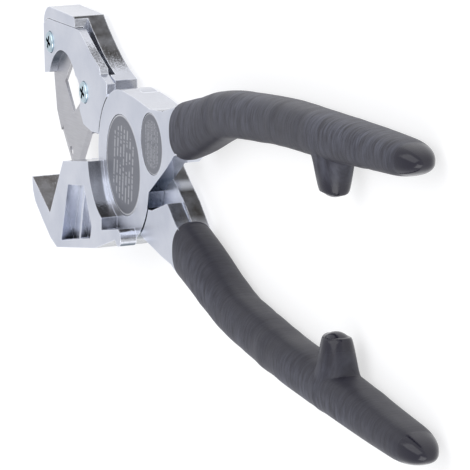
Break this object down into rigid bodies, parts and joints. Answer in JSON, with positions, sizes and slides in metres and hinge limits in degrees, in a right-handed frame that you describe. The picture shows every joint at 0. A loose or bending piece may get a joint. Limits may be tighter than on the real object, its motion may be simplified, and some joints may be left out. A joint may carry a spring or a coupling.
{
  "type": "hose cutter pliers",
  "caption": "Plier-type hose cutter with a blade jaw over a V-shaped cradle jaw, a lapped pivot and two dipped grips with stops.",
  "frame": {"origin": "under the middle of the tool, on the flat far side that it lies on", "axes": "+X from the handles to the jaws, +Z along the pivot toward the labelled side, -Y toward the blade jaw"},
  "size_m": [0.2822, 0.0842, 0.0166],
  "materials": {
    "castings": "satin nickel-plated die casting with polished walls",
    "blade_steel": "ground tool steel",
    "grip_vinyl": "matte dipped vinyl, dark slate grey",
    "label_film": "grey printed film with a thin light rim",
    "zinc_fasteners": "blue zinc plate",
    "bearing_bronze": "plain"
  },
  "bodies": {
    "cradle_half": {"cradle_handle": "castings", "upper_grip": "grip_vinyl", "hub_label": "label_film", "notice_label": "label_film", "pivot_bolt": "zinc_fasteners", "pivot_nut": "zinc_fasteners", "nut_washer": "zinc_fasteners", "thrust_washer": "bearing_bronze"},
    "blade_half": {"blade_handle": "castings", "lower_grip": "grip_vinyl", "blade_clamp_plate": "castings", "blade": "blade_steel", "front_clamp_screw": "zinc_fasteners", "rear_clamp_screw": "zinc_fasteners", "pivot_bush": "bearing_bronze"}
  },
  "joints": [
    {"name": "pivot", "type": "hinge", "parent": "cradle_half", "child": "blade_half", "pos_m": [0.0679, -0.00243, 0.0083], "axis": [0, 0, 1], "range_deg": [-15, 12.8]}
  ]
}
